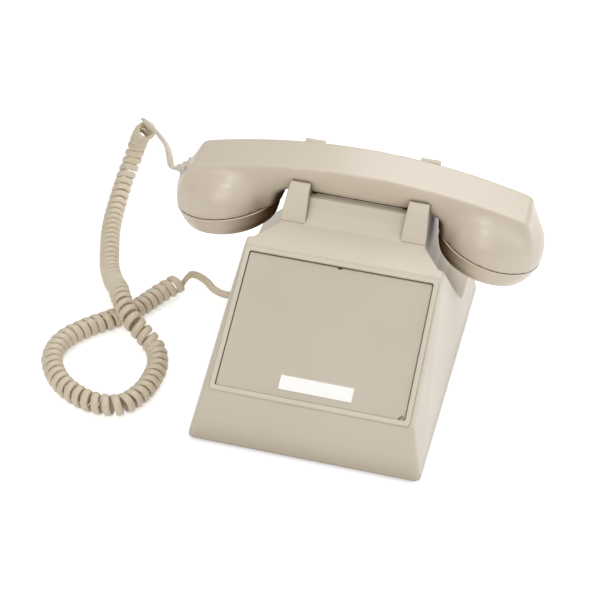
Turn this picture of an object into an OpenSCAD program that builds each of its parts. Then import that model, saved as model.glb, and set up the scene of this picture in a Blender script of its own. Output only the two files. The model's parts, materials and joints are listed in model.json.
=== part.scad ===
// Corded desk telephone without a dial: a wedge housing with a plain front panel, a cradle
// with hook plungers, a handset with screw caps, a ringer, a network block and a curly cord.
// Millimetres, +Z up, +Y to the back, origin on the table below the middle of the housing.

/* [Base] */
// Depth of the housing at its foot
base_depth = 206; // [195:1:225]
// Width of the housing at its foot, front
front_width = 134; // [126:1:146]
// Width of the housing at its foot, back
rear_width = 148; // [140:1:160]
// Thickness of the moulded walls
wall = 2.6; // [2:0.1:3.2]
// Radius of the housing's upper edges
edge_r = 1.6; // [1.2:0.2:3]
// Radius of the housing's upright corners
corner_r = 5; // [5:0.5:12]
// Height of the rubber feet
foot_h = 3; // [2.4:0.2:6]
// Diameter of the rubber feet
foot_d = 16; // [10:1:20]
// Thickness of the steel base plate
plate_t = 1.5; // [1:0.1:2]

/* [Face] */
// Height of the chin's upper edge above the table
chin_height = 37; // [32:1:42]
// How far the chin's upper edge sits behind its foot
chin_lean = 2; // [1:0.5:6]
// Width of the housing across the chin's upper edge
chin_width = 119; // [115:1:126]
// Slope of the face above the horizontal
face_angle = 30.5; // [28:0.5:33]
// Length of the face along its slope
face_length = 93.5; // [91:0.5:98]
// Width of the housing across the face's upper edge
face_width = 116; // [113:1:124]
// Width of the blank front panel
panel_width = 106.6; // [100:0.2:108]
// Height of the blank front panel along the slope
panel_height = 84.4; // [78:0.2:86]
// Thickness of the front panel
panel_t = 3; // [2.5:0.1:4]
// Distance from the chin's upper edge to the panel
panel_offset = 3.6; // [3:0.2:6]
// Gap round the front panel
panel_gap = 0.4; // [0.2:0.1:0.8]
// Corner radius of the front panel
panel_r = 1.2; // [0.8:0.2:4]
// Height of the bead round the panel
bead_h = 1; // [0.6:0.1:1.6]
// Width of the bare label plate
label_width = 41.2; // [30:1:70]
// Height of the bare label plate
label_height = 8.4; // [6:0.2:16]

/* [Cradle] */
// Half the distance across the outer sides of the cradle's ears
tower_half = 43.5; // [42:0.5:46]
// Width of one cradle ear
ear_w = 14.5; // [13:0.5:16]
// Height of the cradle's saddle, where the handset rests
saddle_z = 97.6; // [96.6:0.2:99]
// Height of the front ears' tops
front_ear_z = 104.3; // [103:0.1:107]
// Height of the rear ears' tops
rear_ear_z = 110.8; // [106:0.2:113]
// Depth of the hand hold's floor below the saddle
hold_depth = 36; // [28:1:40]
// Width of the hand hold between the ears
hold_width = 52; // [46:1:54]
// Diameter of the hook plungers
plunger_d = 7; // [5:0.5:8]
// Travel of the hook plungers
plunger_travel = 5; // [3:0.5:6]

/* [Handset] */
// Distance from the handset's middle to the middle of each cup
cup_x = 81; // [78:0.1:86]
// Radius of the cups at the caps' seam
cup_r = 32; // [30:0.1:33]
// Height of the middle of the seam above the table
seam_z = 76; // [74:0.1:78]
// Inward tilt of the cups
cup_tilt = 12.5; // [10:0.5:14]
// Height of the screw caps
cap_h = 14; // [11:0.5:15]
// Width of the handle
handle_width = 34; // [30:0.5:36]
// Thickness of the handle in its middle
handle_t = 16.4; // [13:0.2:18]
// How far the handle's back drops from its middle to its ends
handle_drop = 13; // [10:0.5:14]
// Distance from the middle of a cup to the end of the handle's back
handle_reach = 20; // [17:0.5:22]
// Middle of the handset, measured back from the housing's middle
handset_y = 42; // [40:0.5:44]
// How far the handset lies to the side of the housing's middle
handset_x = -1.5; // [-1.6:0.1:1.6]

/* [Ringer] */
// Radius of the two gongs
gong_r = 25; // [20:0.5:26]
// Height of a gong
gong_h = 12; // [9:0.5:15]
// Space between the gongs, where the clapper swings
gong_gap = 8; // [7:0.5:10]
// Radius of the clapper's ball
ball_r = 2; // [1.5:0.1:2.4]
// Radius of the loudness wheel
wheel_r = 10; // [9:0.5:11]

/* [Cord] */
// Outer diameter of the curly cord's coil
coil_d = 13; // [11:0.5:15]
// Width of the cord's flat lead
lead_d = 4; // [3:0.1:5]

/* [Hidden] */
$fn = 48;

beige = [0.84, 0.79, 0.69];
beige_dark = [0.78, 0.72, 0.61];
steel = [0.66, 0.67, 0.69];
brass = [0.80, 0.64, 0.33];
black = [0.12, 0.12, 0.13];
clear = [0.80, 0.82, 0.84];
eps = 0.01;
seat = 0.3;                                  // clearance between pieces that touch in use
run = 0.05;                                  // radial clearance of a turning or sliding fit

// Housing: corners of the side view, as [y, z]
inner_r = 1;                                 // radius of the hollow's edges
rim_z = foot_h - 0.8;
plate_z = foot_h;
floor_z = plate_z + plate_t;
front_y = -base_depth / 2;
back_y = base_depth / 2;
chin_y = front_y + chin_lean;
face_top_y = chin_y + face_length * cos(face_angle);
face_top_z = chin_height + face_length * sin(face_angle);
shelf_rise = 4;
shelf_z = face_top_z + shelf_rise;
rear_top_y = handset_y + 36;
chin_normal = [-(chin_height - rim_z), chin_lean] / norm([chin_height - rim_z, chin_lean]);
face_normal = [-sin(face_angle), cos(face_angle)];
shelf_run = [rear_top_y - face_top_y, shelf_z - face_top_z];
shelf_normal = [-shelf_run[1], shelf_run[0]] / norm(shelf_run);
back_run = [back_y - rear_top_y, rim_z - shelf_z];
back_normal = [-back_run[1], back_run[0]] / norm(back_run);

// Scoops under the handset's cups: a cone round each cup and a flared tower side
scoop_x = cup_x + 3.3;
scoop_y = handset_y + 8;
scoop_foot_z = 13;
scoop_slope = 1.03;
tower_flare = [[0, 20], [0, -8.5], [1, -24.5], [3, -36.5], [6.5, -46.5], [12.5, -55]];

// Cradle
handle_front_y = handset_y - handle_width / 2;
handle_back_y = handset_y + handle_width / 2;
cradle_gap = 0.5;
ear_mid = tower_half - ear_w / 2 - 0.25;
ear_inner = tower_half - ear_w - 0.5;
ear_front_y = handle_front_y - cradle_gap;
ear_foot_y = ear_front_y - 16.5;
ear_foot_z = face_top_z + shelf_rise * (ear_foot_y - face_top_y) / (rear_top_y - face_top_y);
ear_taper = [1.9, 1.1];                      // outer and inner side, from the shelf to the top
bridge_curve = [
    [-21.5, -1.2], [-16.5, 0.4], [-12, 2.4], [-8.5, 5.4], [-5.9, 8.6], [-4.5, 10.6], [-3.4, 11]
];
hold_z = saddle_z - hold_depth;
hold_front_y = handle_front_y + 2;
plunger_top_z = saddle_z + seat;

// Hook switch
lever_y = handset_y - 30;
lever_t = 4;
lever_z = shelf_z - wall - 1.2 * plunger_travel - lever_t / 2 - 3;
lever_top_z = lever_z + lever_t / 2;
lever_bar_y = lever_y + 6;
pin_r = 1.5;
lug_x = 19;
bracket_ear_x = 15;
bracket_y = lever_y - 7;
bracket_t = 1.6;
bracket_w = 52;
bracket_foot = 9;

// Panel
panel_mid = panel_offset + panel_height / 2;
label_rise = 8.7;
label_shift = 2;
label_t = 0.5;
pry_notch = [2.6, 1.8, -0.5];                // width, depth and place of the notch at the top
corner_notch = 3.2;
ledge_w = 3;
ledge_t = 2;
bead_w = 3;

// Ringer
gong_x = gong_r + gong_gap / 2;
gong_y = front_y + 39;
gong_top_z = 30;
gong_t = 1.4;
post_r = 3;
strike_z = gong_top_z - gong_h + 3;
arbor_y = gong_y + 30;
frame_t = 1.6;
core_y = arbor_y + 18;
core_r = 4;
pole_x = 19;
pole_w = 4;
pole_d = 12;
pole_front = 5;
armature_t = 2;
coil_r = 9;

// Loudness wheel
wheel_x = gong_x + 15;
wheel_y = gong_y + 34;
wheel_z = foot_h + 8.5;
wheel_t = 4;

// Network block
network_size = [64, 44, 17];
network_y = handset_y + 10;
terminal_pitch = 12;
terminal_row = network_size[1] / 2 - 5.5;
terminal_slot = [8, 0.8, 1.2];
network_rim = [10, 12];
network_recess = 3;
pole_over = 6;
pole_h = 8;
frame_ear = 4;
arm_root = 6;
arm_tip = 5;
gong_pad_r = 7;

// Jacks and plugs, the same modular pattern three times
jack_z = 13;
line_jack_x = -25;
base_jack_y = 25;
socket_w = 8;
socket_h = 6.6;
line_socket_w = 10;
socket_depth = 12;
jack_wall = 2;
plug_gap = 0.2;
plug_out = 3;
boot_l = 3;
line_jack_face_y = back_y - (jack_z - rim_z) * (back_y - rear_top_y) / (shelf_z - rim_z) - 0.4;
base_jack_share = (base_jack_y - front_y) / base_depth;
base_half = (front_width + (rear_width - front_width) * base_jack_share) / 2;
wall_slope = ((front_width + rear_width) / 4 - face_width / 2) / (face_top_z - rim_z);
base_jack_face_x = -base_half + (jack_z - rim_z) * wall_slope + 0.3;
handset_jack_z = 88;
handle_half = cup_x + handle_reach;
end_reach = [5, 9.7];                        // the ends below the back, upper and lower
handset_jack_face_x = handset_x - handle_half - end_reach[1] + 2;

// Handset
handle_under_z = saddle_z + seat;
handle_top_z = handle_under_z + handle_t;
handle_chamfer = 1.6;
cup_neck = cup_x - cup_r - 1.7;
cup_dome = [[7, 0.3], [12, 1.5], [16, 3.6], [19.5, 6.8], [22.5, 11]];
capsule_r = cup_r - 7;
pocket_depth = 8;
capsule_low = 5;
rim_h = 1.4;
end_half = handle_width / 2 - 2;

base_plug_end_x = base_jack_face_x - plug_out - boot_l;
handset_plug_end_x = handset_jack_face_x - plug_out - boot_l;

// Screws that hold the housing on the base plate
post_y = [front_y + 13, back_y - 15];
screw_r = 1.6;
boss_r = 4;

// Cord routes, laid by hand
lead_handset_route = [
    [-159.7, 127.5, 60.4], [-158.4, 125.4, 62.2], [-152, 116, 67], [-142, 98, 73],
    [-134, 78, 79], [-129, 58, 85], [handset_plug_end_x - 5, handset_y + 1.5, handset_jack_z],
    [handset_plug_end_x - seat, handset_y, handset_jack_z]
];
coil_route = [
    [-160, 128, 60], [-165, 136, 53], [-169, 140, 43], [-172, 137, 31], [-174, 127, 21],
    [-174, 114, 14], [-173, 100, 9], [-170, 83, 7], [-164, 61, 6.6], [-157, 39, 7],
    [-148, 19, 11], [-141, 5, 17], [-136, -7, 20.5], [-130, -18, 21], [-122, -27, 18],
    [-113, -31, 12], [-105, -36, 7.5], [-100, -48, 6.6], [-99, -61, 6.6], [-101, -77, 6.6],
    [-109, -92, 6.6], [-124, -95, 6.6], [-140, -89, 6.6], [-153, -77, 6.6], [-161, -61, 6.6],
    [-160, -43, 6.6], [-150, -26, 6.6], [-140, -15, 6.6], [-130, -2, 6.6], [-124, 10, 6.6],
    [-118, 22, 7.5], [-110, 32, 10]
];
lead_base_route = [
    [-109.6, 32.5, 10.1], [-108.1, 34.4, 10.6], [-104, 35.5, 14.5], [-98, 32, 18.5],
    [-91, 28.5, 18], [-85, 26, 14.5], [base_plug_end_x - 3.5, base_jack_y, jack_z + 0.3],
    [base_plug_end_x - seat, base_jack_y, jack_z]
];

function dot2(a, b) = a[0] * b[0] + a[1] * b[1];
function corner_centre(p, n1, n2, r) = p - r * (n1 + n2) / (1 + dot2(n1, n2));
function unit(v) = v / norm(v);
function back_drop(x) = handle_drop * pow(x / handle_half, 2);

// A tube swept along a route: smooth points, tangents, carried normals and rings
function spline(p, i, t) =
    let (a = p[max(i - 1, 0)], b = p[i], c = p[i + 1], d = p[min(i + 2, len(p) - 1)])
    0.5 * (2 * b + (c - a) * t + (2 * a - 5 * b + 4 * c - d) * t * t
        + (3 * b - a - 3 * c + d) * t * t * t);
function smooth(p, steps) = [
    for (i = [0:len(p) - 2]) for (k = [0:steps - 1]) spline(p, i, k / steps),
    p[len(p) - 1]
];
function tangent(p, i) = unit(p[min(i + 1, len(p) - 1)] - p[max(i - 1, 0)]);
function carried(p, i) =
    i == 0 ? unit(cross(tangent(p, 0), [0, 0.3, 1]))
           : let (n = carried(p, i - 1), t = tangent(p, i)) unit(n - (n * t) * t);
function ring(c, t, n, r, sides) =
    [for (k = [0:sides - 1]) c + r * (cos(360 * k / sides) * n + sin(360 * k / sides) * cross(t, n))];

module swept_tube(route, r, steps, sides = 8) {
    p = smooth(route, steps);
    m = len(p);
    points = [for (i = [0:m - 1]) each ring(p[i], tangent(p, i), carried(p, i), r, sides)];
    walls = [
        for (i = [0:m - 2]) for (k = [0:sides - 1]) let (j = (k + 1) % sides) each [
            [i * sides + k, i * sides + j, (i + 1) * sides + j],
            [i * sides + k, (i + 1) * sides + j, (i + 1) * sides + k]
        ]
    ];
    first = [for (k = [sides - 1:-1:0]) k];
    last = [for (k = [0:sides - 1]) (m - 1) * sides + k];
    polyhedron(points, concat(walls, [first, last]));
}

// ---- Shapes that several pieces share ----

module mirrored_x() {
    children();
    mirror([1, 0, 0]) children();
}

// Puts a YZ outline up as a slab from x0 to x1
module slab_x(x0, x1) {
    translate([x0, 0, 0]) rotate([90, 0, 90]) linear_extrude(x1 - x0) children();
}

// Puts an XZ outline up as a slab from y0 to y1
module slab_y(y0, y1) {
    translate([0, y1, 0]) rotate([90, 0, 0]) linear_extrude(y1 - y0) children();
}

module rounded_rect(w, h, r) {
    square([w - 2 * r, h], center = true);
    square([w, h - 2 * r], center = true);
    for (x = [-1, 1]) for (y = [-1, 1]) {
        translate([x * (w / 2 - r), y * (h / 2 - r)]) circle(r, $fn = 32);
    }
}

module on_face() {
    translate([0, chin_y, chin_height]) rotate([face_angle, 0, 0]) children();
}

module corner_ball(half, centre, r) {
    translate([half, centre[0], centre[1]]) sphere(r, $fn = 8);
}

module foot_corner(half, y, inset) {
    low = inset > 0 ? rim_z - 1 : rim_z;
    translate([half - corner_r, y, low]) cylinder(1, corner_r - inset, corner_r - inset, $fn = 32);
}

// The housing's outer form, or the hollow inside it
module shell_form(inset) {
    r = inset > 0 ? inner_r : edge_r;
    deep = inset + r;
    chin = corner_centre([chin_y, chin_height], chin_normal, face_normal, deep);
    face_top = corner_centre([face_top_y, face_top_z], face_normal, shelf_normal, deep);
    rear_top = corner_centre([rear_top_y, shelf_z], shelf_normal, back_normal, deep);
    hull() mirrored_x() {
        foot_corner(front_width / 2, front_y + corner_r, inset);
        foot_corner(rear_width / 2, back_y - corner_r, inset);
        corner_ball(chin_width / 2 - deep, chin, r);
        corner_ball(face_width / 2 - deep, face_top, r);
        corner_ball(face_width / 2 - deep, rear_top, r);
    }
}

// The space under one cup, made larger by grow for the wall behind it
module scoop(grow) {
    side = [for (p = tower_flare) [tower_half + p[0] - grow, saddle_z + p[1]]];
    low = side[len(side) - 1];
    reach = rear_width / 2 + 20;
    outline = concat(side, [
        [reach, low[1] - (reach - low[0]) * scoop_slope], [reach, side[0][1]]
    ]);
    foot_z = scoop_foot_z - grow * 1.4;
    top_z = saddle_z + 20;
    intersection() {
        slab_y(front_y, back_y + 10) polygon(outline);
        union() {
            translate([scoop_x, scoop_y, foot_z])
                cylinder(top_z - foot_z, 1, (top_z - foot_z) / scoop_slope, $fn = 64);
            translate([0, scoop_y, 0]) cube([reach, back_y, top_z]);
        }
        shelf_side(grow);
    }
}

// Everything outside the slanted edge from the face's upper corner to the foot of an ear
module shelf_side(grow) {
    a = [face_width / 2 + 0.5, face_top_y];
    b = [tower_half, ear_foot_y - 2];
    along = unit(b - a);
    out = [along[1], -along[0]];
    linear_extrude(2 * saddle_z) polygon([
        a - 80 * along - grow * out, a - 80 * along + 200 * out,
        b + 80 * along + 200 * out, b + 80 * along - grow * out
    ]);
}

module scoops(grow) {
    mirrored_x() scoop(grow);
}

// The hand hold between the ears, open to the top and the back
module hand_hold(grow) {
    r = 8 + grow;
    half = hold_width / 2 + grow;
    slab_y(hold_front_y - grow, back_y + 10) union() {
        translate([-half, hold_z + r - grow]) square([2 * half, 60]);
        translate([-half + r, hold_z - grow]) square([2 * half - 2 * r, 60]);
        for (s = [-1, 1]) translate([s * (half - r), hold_z + r - grow]) circle(r, $fn = 48);
    }
}

// One pair of ears with the saddle between them, seen from the side
module ear_outline() {
    front = ear_front_y;
    back = handle_back_y + cradle_gap;
    foot = shelf_z - 8;
    polygon([
        [ear_foot_y, foot], [ear_foot_y, ear_foot_z + 0.3], [front - 7, front_ear_z - 3.2],
        [front - 2.2, front_ear_z], [front - 0.8, front_ear_z], [front, front_ear_z - 1.2],
        [front, saddle_z], [back, saddle_z], [back, rear_ear_z - 2.5], [back + 2.5, rear_ear_z],
        [back + 6, rear_ear_z], [rear_top_y + 2, shelf_z - 3], [rear_top_y - 4, foot]
    ]);
}

// The same ears seen from the front, narrower towards their tops
module ear_front() {
    foot = shelf_z - 8;
    polygon([
        [ear_inner, foot], [tower_half, foot], [tower_half, shelf_z],
        [tower_half - ear_taper[0], front_ear_z], [tower_half - ear_taper[0], rear_ear_z + 1],
        [ear_inner + ear_taper[1], rear_ear_z + 1], [ear_inner + ear_taper[1], front_ear_z],
        [ear_inner, shelf_z]
    ]);
}

// The hollow front of the saddle, between the two front ears
module bridge() {
    rise = [for (p = bridge_curve) [ear_front_y + p[0], ear_foot_z + p[1]]];
    top = rise[len(rise) - 1][1];
    foot = shelf_z - 8;
    slab_x(-ear_inner - 1, ear_inner + 1) polygon(concat(
        rise, [[hold_front_y + 1, top], [hold_front_y + 1, foot], [rise[0][0], foot]]
    ));
}

module screw_posts() {
    for (y = post_y) translate([0, y, floor_z + 0.1]) cylinder(60, boss_r, boss_r);
}

// ---- Base ----

module base_plate() {
    inset = wall + 1;
    color(steel) difference() {
        hull() for (s = [-1, 1]) {
            translate([s * (front_width / 2 - corner_r), front_y + corner_r, plate_z])
                cylinder(plate_t, corner_r - inset, corner_r - inset, $fn = 32);
            translate([s * (rear_width / 2 - corner_r), back_y - corner_r, plate_z])
                cylinder(plate_t, corner_r - inset, corner_r - inset, $fn = 32);
        }
        for (y = post_y) translate([0, y, plate_z - 1])
            cylinder(plate_t + 2, screw_r + 0.2, screw_r + 0.2);
        translate([wheel_x - wheel_t / 2 - 1.5, wheel_y - wheel_r * 0.8, plate_z - 1])
            cube([wheel_t + 3, wheel_r * 1.6, plate_t + 2]);
    }
}

module foot(sx, sy) {
    half = (sy < 0 ? front_width : rear_width) / 2 - foot_d / 2 - 8;
    y = sy * (base_depth / 2 - foot_d / 2 - 8);
    color(black) translate([sx * half, y, 0]) union() {
        cylinder(foot_h / 2, foot_d / 2 - 1, foot_d / 2);
        translate([0, 0, foot_h / 2]) cylinder(foot_h / 2, foot_d / 2, foot_d / 2);
    }
}

module housing() {
    opening_w = panel_width + 2 * panel_gap;
    opening_h = panel_height + 2 * panel_gap;
    color(beige) difference() {
        union() {
            difference() {
                shell_form(0);
                scoops(0);
            }
            mirrored_x() intersection() {
                slab_x(ear_inner - 5, tower_half + 5) ear_outline();
                slab_y(0, back_y) ear_front();
            }
            bridge();
            on_face() translate([0, panel_mid, -1]) linear_extrude(1 + bead_h)
                rounded_rect(opening_w + 2 * bead_w, opening_h + 2 * bead_w, panel_r + 1);
        }
        hand_hold(0);
        difference() {
            shell_form(wall);
            scoops(wall);
            hand_hold(wall);
            on_face() translate([0, panel_mid, -panel_t - ledge_t]) linear_extrude(ledge_t + 2)
                rounded_rect(opening_w + 2 * wall, opening_h + 2 * wall, panel_r + wall);
            screw_posts();
        }
        on_face() translate([0, panel_mid, -panel_t - 0.1]) linear_extrude(panel_t + 5)
            rounded_rect(opening_w, opening_h, panel_r);
        on_face() translate([0, panel_mid, -panel_t - ledge_t - 1]) linear_extrude(ledge_t + 5)
            rounded_rect(opening_w - 2 * ledge_w, opening_h - 2 * ledge_w, panel_r);
        for (s = [-1, 1]) translate([s * ear_mid, handset_y, lever_top_z])
            cylinder(saddle_z, plunger_d / 2 + run, plunger_d / 2 + run);
        for (y = post_y) translate([0, y, 0]) cylinder(floor_z + 14, screw_r, screw_r);
        translate([line_jack_x, line_jack_face_y, jack_z]) cube(
            [line_socket_w + 2 * jack_wall + seat, 20, socket_h + 2 * jack_wall + seat],
            center = true
        );
        translate([base_jack_face_x, base_jack_y, jack_z])
            cube([20, socket_w + 2 * jack_wall + seat, socket_h + 2 * jack_wall + seat], center = true);
    }
}

module housing_screws() {
    color(steel) for (y = post_y) translate([0, y, 0]) {
        translate([0, 0, plate_z - 1.6]) cylinder(1.6, 3.2, 3.2);
        translate([0, 0, plate_z - eps]) cylinder(plate_t + 9, screw_r - run, screw_r - run);
    }
}

module faceplate() {
    color(beige_dark) on_face() translate([0, panel_mid, -panel_t]) difference() {
        linear_extrude(panel_t) rounded_rect(panel_width, panel_height, panel_r);
        translate([pry_notch[2], panel_height / 2, panel_t])
            cube([pry_notch[0], pry_notch[1], 3], center = true);
        translate([panel_width / 2 - 1.6, -panel_height / 2 + 0.6, panel_t]) rotate([0, 0, 45])
            cube([corner_notch, corner_notch, 3], center = true);
    }
}

module label_plate() {
    color("white") on_face() translate([label_shift, panel_offset + label_rise, 0])
        linear_extrude(label_t) square([label_width, label_height], center = true);
}

// ---- Hook switch ----

module hook_plunger(s) {
    length = plunger_top_z - lever_top_z - seat;
    r = plunger_d / 2;
    color(clear) translate([s * ear_mid, handset_y, lever_top_z + seat]) union() {
        cylinder(1.2, r - 1, r);
        translate([0, 0, 1.2 - eps]) cylinder(length - 2.4 + 2 * eps, r, r);
        translate([0, 0, length - 1.2]) cylinder(1.2, r, r - 1);
    }
}

module hookswitch_bracket() {
    half = bracket_w / 2;
    color(steel) union() {
        translate([-half, bracket_y - bracket_foot, floor_z])
            cube([bracket_w, bracket_foot + bracket_t, bracket_t]);
        difference() {
            translate([-half, bracket_y, floor_z])
                cube([bracket_w, bracket_t, lever_z + 3 - floor_z]);
            slab_y(bracket_y - 1, bracket_y + bracket_t + 1) translate([0, lever_z * 0.45])
                rounded_rect(bracket_w * 0.54, lever_z * 0.5, bracket_w * 0.1);
        }
        for (s = [-1, 1]) difference() {
            translate([s * bracket_ear_x - bracket_t / 2, bracket_y, lever_z - 5])
                cube([bracket_t, lever_y - bracket_y + 4, 9]);
            translate([s * bracket_ear_x - 3, lever_y, lever_z]) rotate([0, 90, 0])
                cylinder(6, pin_r, pin_r);
        }
    }
}

module hookswitch_pin() {
    reach = lug_x + 4;
    color(steel) translate([-reach, lever_y, lever_z]) rotate([0, 90, 0])
        cylinder(2 * reach, pin_r - run, pin_r - run);
}

module hookswitch_lever() {
    low = lever_z - lever_t / 2;
    color(brass) difference() {
        union() {
            translate([-ear_mid - 3, lever_bar_y - 1.5, low]) cube([2 * ear_mid + 6, 3, lever_t]);
            for (s = [-1, 1]) {
                translate([s * ear_mid - 3, lever_bar_y, low])
                    cube([6, handset_y + 3.5 - lever_bar_y, lever_t]);
                translate([s * lug_x - 1.5, lever_y, low]) cube([3, lever_bar_y - lever_y, lever_t]);
                translate([s * lug_x - 1.5, lever_y, lever_z]) rotate([0, 90, 0])
                    cylinder(3, 3.4, 3.4);
            }
        }
        translate([-lug_x - 6, lever_y, lever_z]) rotate([0, 90, 0])
            cylinder(2 * lug_x + 12, pin_r, pin_r);
    }
}

module hookswitch_contacts() {
    color(black) translate([-9, bracket_y - 10, lever_z - 26]) cube([18, 10, 8]);
    color(brass) for (x = [-6, -2, 2, 6])
        translate([x - 0.4, bracket_y - 7, lever_z - 18 - eps]) cube([0.8, 4, 20]);
}

module hookswitch_spring() {
    z = lever_z - lever_t / 2 - seat;
    color(steel) slab_x(-4, 4) polygon([
        [bracket_y + bracket_t, z - 12], [bracket_y + bracket_t + 0.8, z - 12],
        [bracket_y + bracket_t + 0.8, z - 6], [lever_bar_y + 1, z - 0.8], [lever_bar_y + 1, z],
        [lever_bar_y - 1, z], [bracket_y + bracket_t, z - 5]
    ]);
}

// ---- Network and ringer ----

module network_block() {
    half = network_size / 2;
    color(black) translate([-half[0], network_y - half[1], floor_z]) difference() {
        cube(network_size);
        translate([network_rim[0], network_rim[1], network_size[2] - network_recess])
            cube([
                network_size[0] - 2 * network_rim[0],
                network_size[1] - 2 * network_rim[1], network_recess + 1
            ]);
    }
}

module network_terminals() {
    top = floor_z + network_size[2];
    color(brass) for (i = [-2:2]) for (s = [-1, 1])
        translate([i * terminal_pitch, network_y + s * terminal_row, top]) difference() {
            cylinder(2.2, 2.8, 2.8);
            translate([0, 0, 2]) cube(terminal_slot, center = true);
        }
}

module ringer_frame() {
    side = pole_x + pole_w;
    pole_top = strike_z + pole_over - floor_z;
    color(steel) union() {
        translate([0, 0, floor_z]) linear_extrude(frame_t) union() {
            translate([-side, arbor_y - frame_ear])
                square([2 * side, core_y + pole_d - arbor_y]);
            for (s = [-1, 1]) {
                polygon([
                    [s * side, arbor_y + arm_root], [s * side, arbor_y - frame_ear],
                    [s * (gong_x + arm_tip), gong_y - 3], [s * (gong_x - arm_tip), gong_y - 3],
                    [s * arm_root, arbor_y - frame_ear]
                ]);
                translate([s * gong_x, gong_y]) circle(gong_pad_r);
            }
        }
        for (s = [-1, 1]) {
            translate([s * gong_x, gong_y, floor_z])
                cylinder(gong_top_z - gong_t - floor_z, post_r, post_r);
            translate([s * pole_x - pole_w / 2, core_y - pole_front, floor_z])
                cube([pole_w, pole_d, pole_top]);
        }
        translate([0, arbor_y, floor_z]) cylinder(pole_top, pin_r, pin_r);
        translate([0, arbor_y, floor_z])
            cylinder(strike_z - 4 - floor_z - seat, pin_r + 2, pin_r + 2);
    }
}

module ringer_core() {
    reach = core_y - pole_front - arbor_y - armature_t / 2 - 1.8;
    color([0.45, 0.46, 0.48]) union() {
        translate([-pole_x + pole_w / 2, core_y, strike_z]) rotate([0, 90, 0])
            cylinder(2 * pole_x - pole_w, core_r - run, core_r - run);
        for (s = [-1, 1])
            translate([s * pole_x - pole_w / 2, core_y - pole_front - reach, strike_z - pole_h / 2])
                cube([pole_w, reach, pole_h]);
    }
}

module ringer_coil() {
    half = pole_x - pole_w / 2 - 0.4;
    color([0.62, 0.30, 0.16]) translate([-half, core_y, strike_z]) rotate([0, 90, 0])
    difference() {
        union() {
            cylinder(2 * half, coil_r, coil_r);
            cylinder(1.6, coil_r + 2, coil_r + 2);
            translate([0, 0, 2 * half - 1.6]) cylinder(1.6, coil_r + 2, coil_r + 2);
        }
        translate([0, 0, -1]) cylinder(2 * half + 2, core_r, core_r);
    }
}

module gong(s) {
    r = gong_r;
    h = gong_h;
    t = gong_t;
    low = h * 0.35;
    color(brass) translate([s * gong_x, gong_y, gong_top_z - h]) rotate_extrude($fn = 64)
        polygon(concat(
            [[r, 0], [r, low]],
            [for (a = [0:15:75]) [r - 8 + 8 * cos(a), low + (h - low) * sin(a)]],
            [[r - 8, h], [post_r - 0.9, h], [post_r - 0.9, h - t], [r - 8, h - t]],
            [for (a = [75:-15:0]) [r - 8 + (8 - t) * cos(a), low + (h - low - t) * sin(a)]],
            [[r - t, 0]]
        ));
}

module gong_screws() {
    color(steel) for (s = [-1, 1]) translate([s * gong_x, gong_y, 0]) union() {
        translate([0, 0, gong_top_z]) cylinder(2, post_r + 1, post_r + 1);
        translate([0, 0, gong_top_z - gong_t]) cylinder(gong_t + 1, post_r - 1, post_r - 1);
    }
}

module clapper() {
    color(steel) difference() {
        union() {
            translate([0, arbor_y, strike_z - 4]) cylinder(8, pin_r + 2, pin_r + 2);
            translate([-pole_x - pole_w / 2, arbor_y - armature_t / 2, strike_z - 4])
                cube([2 * pole_x + pole_w, armature_t, 8]);
            translate([0, arbor_y - 2, strike_z]) rotate([90, 0, 0])
                cylinder(arbor_y - gong_y - 2, 0.9, 0.9, $fn = 24);
            translate([0, gong_y, strike_z]) sphere(ball_r, $fn = 24);
        }
        translate([0, arbor_y, strike_z - 6]) cylinder(12, pin_r + run, pin_r + run);
    }
}

module loudness_bracket() {
    axle = wheel_t / 2 + 1 + bracket_t;
    tab = 6;
    color(steel) translate([wheel_x, 0, 0]) union() {
        for (s = [-1, 1]) {
            translate([s * (axle - bracket_t / 2) - bracket_t / 2, wheel_y - 4, floor_z])
                cube([bracket_t, 8, wheel_z + 4 - floor_z]);
            translate([s * (axle + tab / 2) - tab / 2, wheel_y - 4, floor_z])
                cube([tab, 8, bracket_t]);
        }
        translate([-axle, wheel_y, wheel_z]) rotate([0, 90, 0]) cylinder(2 * axle, pin_r, pin_r);
    }
}

module loudness_wheel() {
    color(beige) translate([wheel_x - wheel_t / 2, wheel_y, wheel_z]) rotate([0, 90, 0])
    difference() {
        cylinder(wheel_t, wheel_r, wheel_r);
        translate([0, 0, -1]) cylinder(wheel_t + 2, pin_r + run, pin_r + run);
        for (a = [0:30:359]) rotate([0, 0, a]) translate([wheel_r + 0.3, 0, -1])
            cylinder(wheel_t + 2, 1, 1, $fn = 16);
    }
}

// ---- Jacks and plugs ----

// A modular jack whose mouth is at x = 0 and looks along -X
module jack(w) {
    low = [0, -w / 2 - jack_wall, -socket_h / 2 - jack_wall];
    difference() {
        translate(low) cube([socket_depth + jack_wall, -2 * low[1], -2 * low[2]]);
        translate([-1, -w / 2, -socket_h / 2]) cube([socket_depth + 1, w, socket_h]);
    }
}

// A modular plug that sits in such a jack, with its boot outside
module plug() {
    w = socket_w - 2 * plug_gap;
    h = socket_h - 2 * plug_gap;
    color(clear) translate([-plug_out, -w / 2, -h / 2]) cube([plug_out + socket_depth - 0.5, w, h]);
    color(beige) translate([-plug_out - boot_l, 0, 0]) rotate([0, 90, 0])
        cylinder(boot_l + eps, lead_d / 2, h / 2, $fn = 24);
}

module line_jack() {
    color(black) translate([line_jack_x, line_jack_face_y, jack_z]) rotate([0, 0, -90])
        jack(line_socket_w);
}

module base_jack() {
    color(black) translate([base_jack_face_x, base_jack_y, jack_z]) jack(socket_w);
}

module handset_jack() {
    color(black) translate([handset_jack_face_x, handset_y, handset_jack_z]) jack(socket_w);
}

module cord_plug_base() {
    translate([base_jack_face_x, base_jack_y, jack_z]) plug();
}

module cord_plug_handset() {
    translate([handset_jack_face_x, handset_y, handset_jack_z]) plug();
}

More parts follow.
